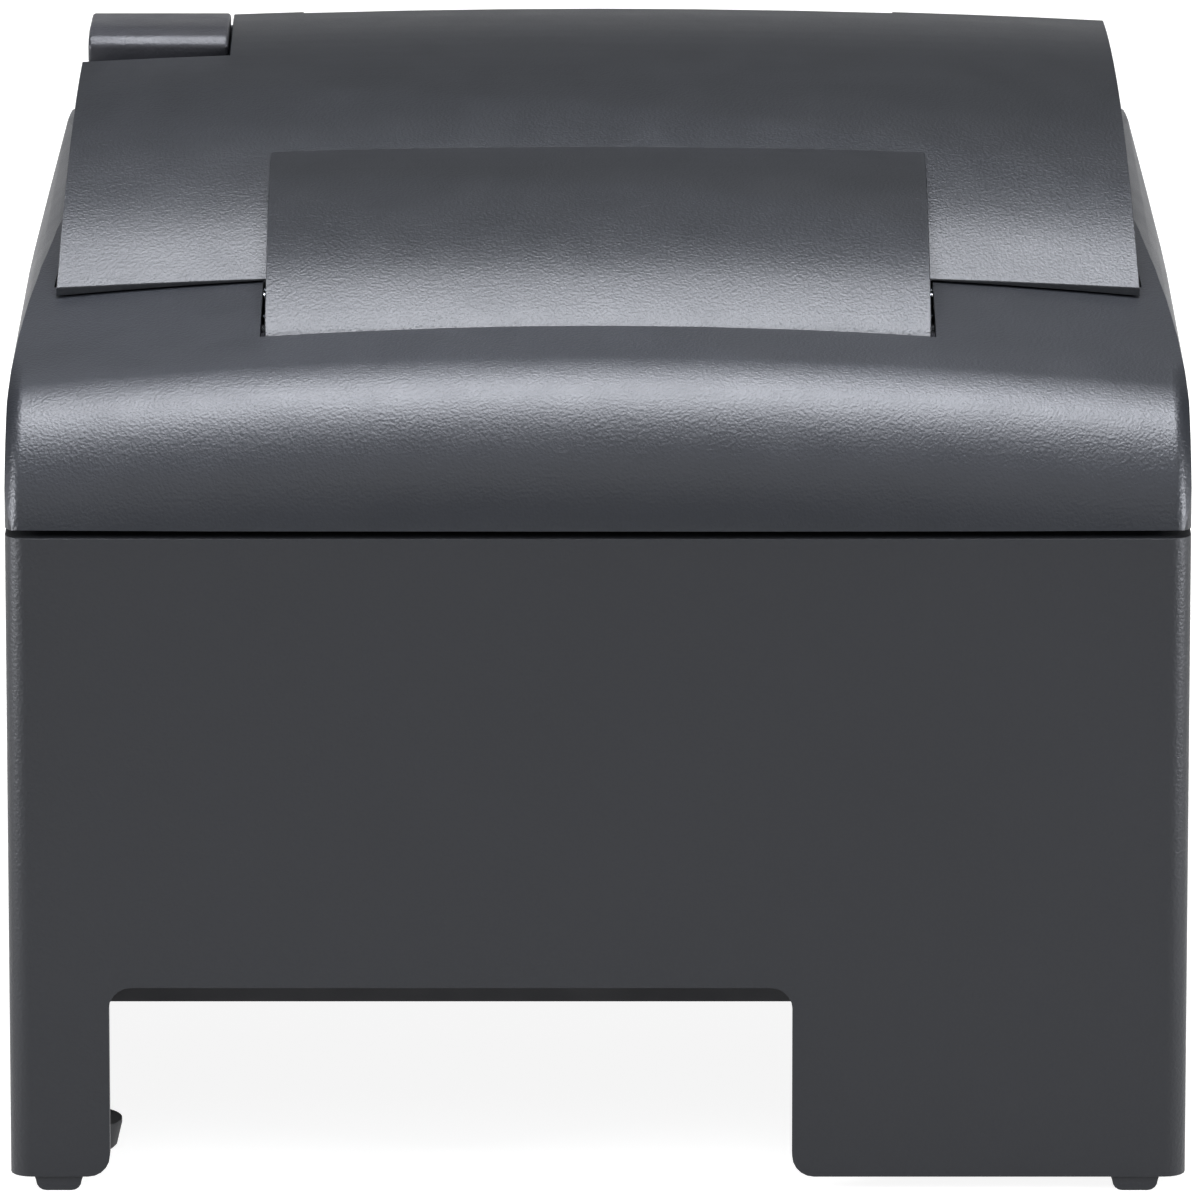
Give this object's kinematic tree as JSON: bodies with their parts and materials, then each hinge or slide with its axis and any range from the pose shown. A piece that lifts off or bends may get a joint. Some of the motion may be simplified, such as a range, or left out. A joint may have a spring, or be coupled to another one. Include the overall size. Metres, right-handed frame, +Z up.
{
  "type": "dot matrix printer",
  "caption": "Dark desktop dot matrix receipt printer with a hinged roll cover, a hinged front cover, a cover lever, a feed button and a working print mechanism inside.",
  "frame": {"origin": "on the table, under the middle of the case", "axes": "+X across the printer, +Y from the cable side to the operator side, +Z up"},
  "size_m": [0.16, 0.248, 0.1385],
  "materials": {
    "case": "fine moulded texture",
    "base": "moulded, semi-matte",
    "rubber": "matte",
    "hood": "fine moulded texture",
    "cover": "fine moulded texture",
    "lever": "fine moulded texture",
    "inner": "moulded, semi-matte",
    "plated": "zinc plated sheet",
    "blade": "bright",
    "shaft": "ground",
    "roller": "ground rubber",
    "connector": "moulded",
    "pcb": "solder mask",
    "chip": "moulded",
    "acetal": "natural",
    "brass": "machined",
    "motor": "plated can",
    "head": "black anodised casting",
    "heatsink": "cast",
    "belt": "matte",
    "cassette": "moulded",
    "ribbon": "inked nylon",
    "knob": "moulded",
    "panel": "fine satin",
    "lens": "tinted",
    "button": "satin",
    "switch": "polished",
    "screw": "zinc plated"
  },
  "bodies": {
    "housing": {"lower_case": "case", "base_plate": "base", "rubber_feet": "rubber", "upper_case": "hood", "lever_pin": "shaft", "roll_bucket": "inner", "connector_panel": "plated", "power_jack": "connector", "drawer_jack": "connector", "data_connector": "plated", "interface_board": "pcb", "main_board": "pcb", "board_components": "chip", "side_frame_left": "plated", "side_frame_right": "plated", "chassis_plate": "plated", "tear_bar": "blade", "feed_bushes": "acetal", "feed_motor": "motor", "carriage_shaft": "shaft", "carriage_rail": "plated", "timing_belt": "belt", "carriage_motor": "motor", "ribbon_cassette": "cassette", "ink_ribbon": "ribbon", "control_panel": "panel", "panel_board": "pcb", "status_lenses": "lens", "power_switch_body": "switch", "case_screws": "screw", "frame_screws": "screw", "panel_screws": "screw"},
    "roll_cover": {"roll_cover": "cover", "roll_cover_pins": "shaft", "cover_paper_guide": "inner", "platen": "plated"},
    "pressure_roller": {"pressure_shaft": "shaft", "pressure_rubber": "roller"},
    "front_cover": {"front_cover": "cover", "front_cover_pins": "shaft"},
    "open_lever": {"open_lever": "lever"},
    "feed_roller": {"feed_shaft": "shaft", "feed_rubber": "roller", "feed_gear": "acetal"},
    "idler_gear": {"idler_gear": "acetal"},
    "motor_pinion": {"motor_pinion": "brass"},
    "carriage": {"carriage": "inner", "print_head": "head", "head_heatsink": "heatsink"},
    "motor_pulley": {"motor_pulley": "brass"},
    "idler_pulley": {"idler_pulley": "acetal"},
    "ribbon_knob": {"ribbon_knob": "knob"},
    "feed_button": {"feed_button": "button"},
    "power_rocker": {"power_rocker": "switch"}
  },
  "joints": [
    {"name": "roll_cover_hinge", "type": "hinge", "parent": "housing", "child": "roll_cover", "pos_m": [0, -0.0865, 0.11], "axis": [1, 0, 0], "range_deg": [0, 65]},
    {"name": "pressure_roller_spin", "type": "hinge", "parent": "roll_cover", "child": "pressure_roller", "pos_m": [0, 0.002, 0.096], "axis": [1, 0, 0], "continuous": true},
    {"name": "front_cover_hinge", "type": "hinge", "parent": "housing", "child": "front_cover", "pos_m": [0, 0.07347, 0.10744], "axis": [-1, 0, 0], "range_deg": [0, 62]},
    {"name": "open_lever_pivot", "type": "hinge", "parent": "housing", "child": "open_lever", "pos_m": [-0.06225, -0.003, 0.112], "axis": [-1, 0, 0], "range_deg": [0, 10], "stiffness_Nm_per_rad": 0.05, "springref_deg": -5.73},
    {"name": "carriage_slide", "type": "slide", "parent": "housing", "child": "carriage", "axis": [1, 0, 0], "range_m": [-0.03, 0.03]},
    {"name": "motor_pulley_spin", "type": "hinge", "parent": "housing", "child": "motor_pulley", "pos_m": [-0.044, 0.056, 0.068], "axis": [0, 1, 0], "range_deg": [-300, 300]},
    {"name": "idler_pulley_spin", "type": "hinge", "parent": "housing", "child": "idler_pulley", "pos_m": [0.044, 0.056, 0.068], "axis": [0, 1, 0], "range_deg": [-300, 300]},
    {"name": "feed_roller_spin", "type": "hinge", "parent": "housing", "child": "feed_roller", "pos_m": [0, 0.0126, 0.096], "axis": [1, 0, 0], "continuous": true},
    {"name": "idler_gear_spin", "type": "hinge", "parent": "housing", "child": "idler_gear", "pos_m": [0.0632, 0.00481, 0.07203], "axis": [1, 0, 0], "continuous": true},
    {"name": "feed_motor_spin", "type": "hinge", "parent": "housing", "child": "motor_pinion", "pos_m": [0.0632, 0.01813, 0.05671], "axis": [1, 0, 0], "continuous": true},
    {"name": "ribbon_knob_spin", "type": "hinge", "parent": "housing", "child": "ribbon_knob", "pos_m": [0.038, 0.056, 0.11], "axis": [0, 0, 1], "continuous": true},
    {"name": "feed_button_press", "type": "slide", "parent": "housing", "child": "feed_button", "axis": [-0.0556, -0.2524, -0.966], "range_m": [0, 0.0008], "stiffness_N_per_m": 300, "springref_m": -0.0005},
    {"name": "power_rocker_tilt", "type": "hinge", "parent": "housing", "child": "power_rocker", "pos_m": [-0.052, 0.119, 0.026], "axis": [1, 0, 0], "range_deg": [-14, 0]}
  ],
  "couplings": [
    {"joint": "motor_pulley_spin", "follows": "carriage_slide", "rad_per_m": 173.91},
    {"joint": "idler_pulley_spin", "follows": "carriage_slide", "rad_per_m": 173.91},
    {"joint": "idler_gear_spin", "follows": "feed_roller_spin", "ratio": -0.8},
    {"joint": "feed_motor_spin", "follows": "feed_roller_spin", "ratio": 1.7778}
  ]
}
